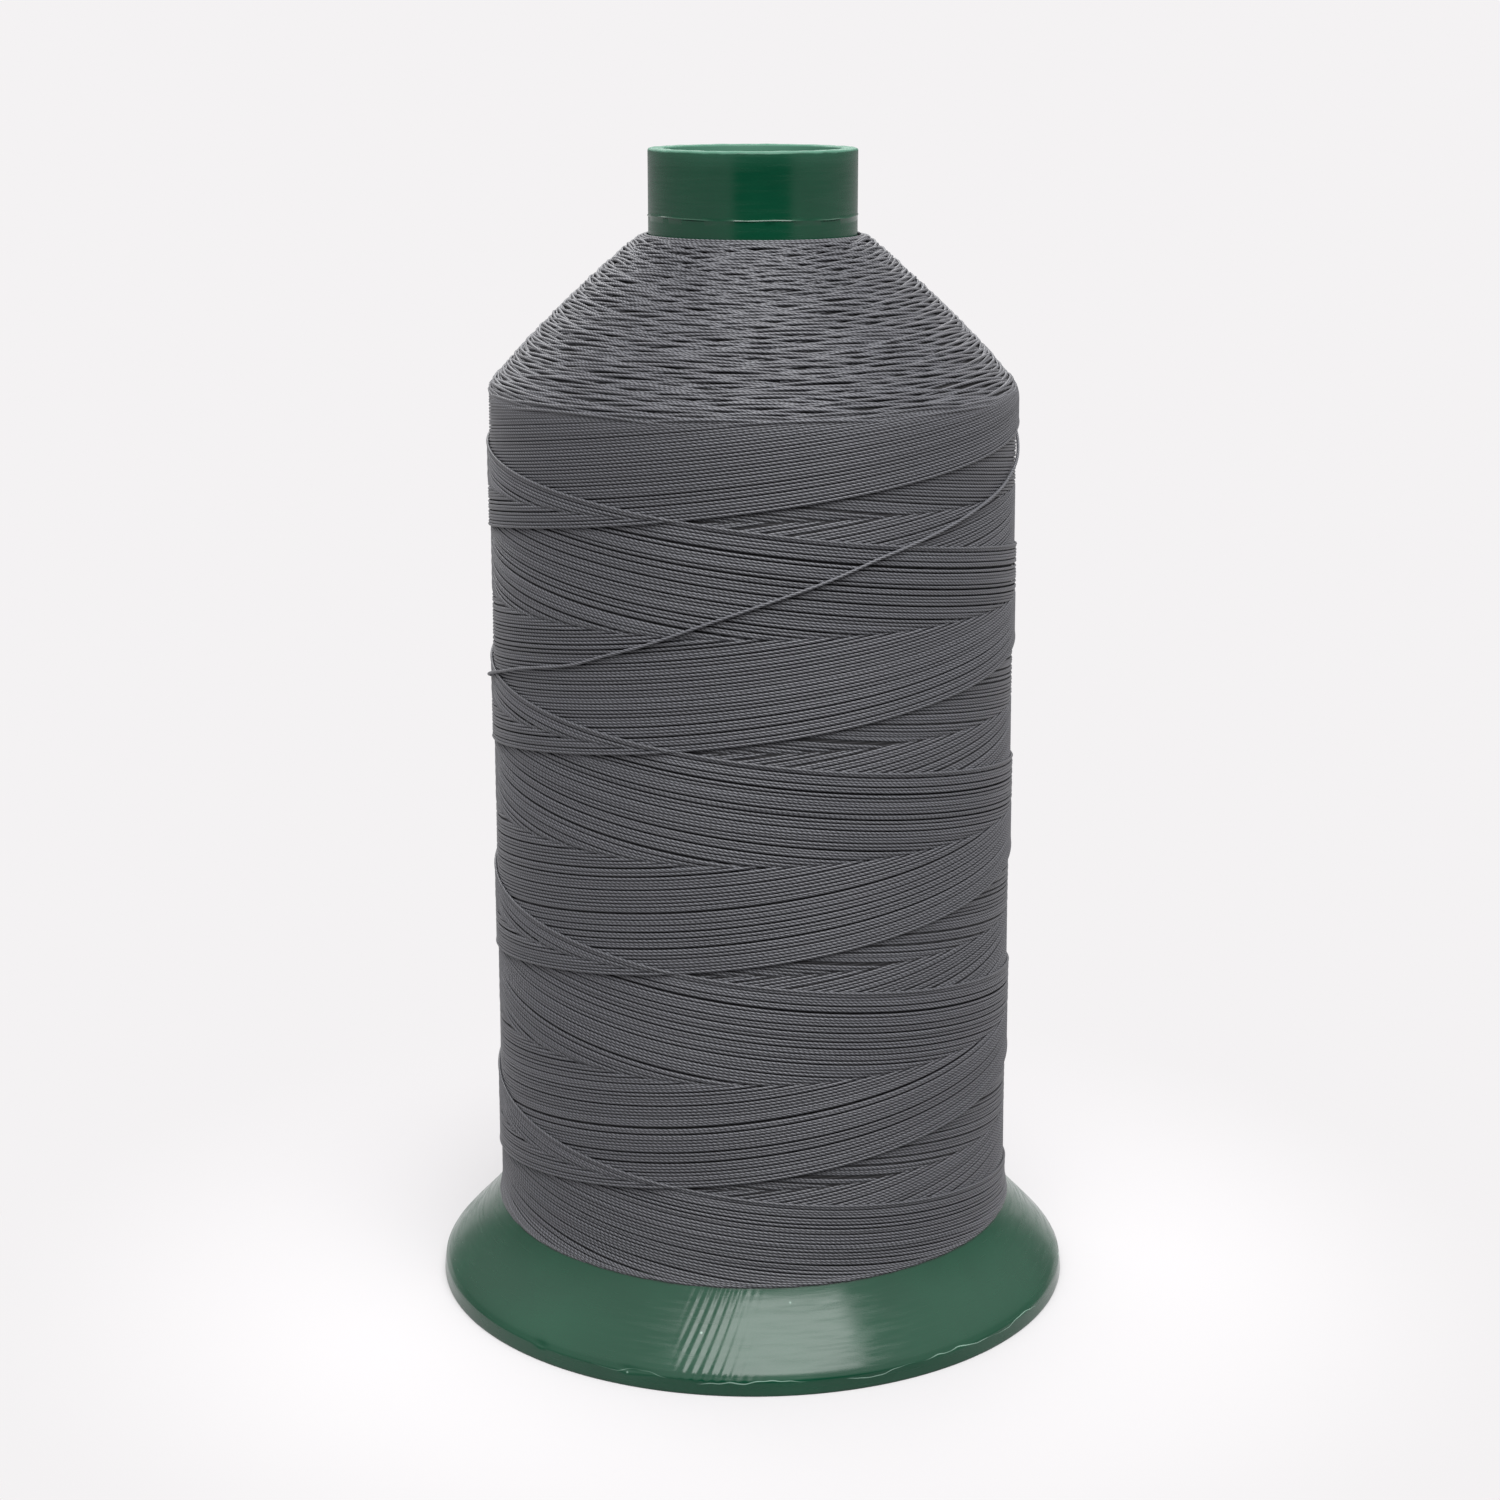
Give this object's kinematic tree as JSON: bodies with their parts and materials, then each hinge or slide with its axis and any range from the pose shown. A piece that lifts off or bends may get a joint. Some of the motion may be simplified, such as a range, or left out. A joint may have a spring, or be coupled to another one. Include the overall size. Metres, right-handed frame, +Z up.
{
  "type": "spool of thread",
  "caption": "Tall spool of sewing thread: a straight tube with a flared, hollow conical foot, cross-wound with one grey thread to a sloping top below the bare neck.",
  "frame": {"origin": "centre of the face that the foot stands on", "axes": "+Z up the tube's axis, towards the bare neck; the object is round, so +X and +Y are free, and the last strand's climb is centred on -Y"},
  "size_m": [0.0858, 0.0858, 0.152],
  "materials": {
    "core_plastic": "glossy injection-moulded polypropylene, lightly scratched",
    "thread": "bonded three-ply continuous-filament thread, satin"
  },
  "bodies": {
    "root": {"core": "core_plastic", "thread_package": "thread", "last_strand": "thread"}
  },
  "joints": []
}
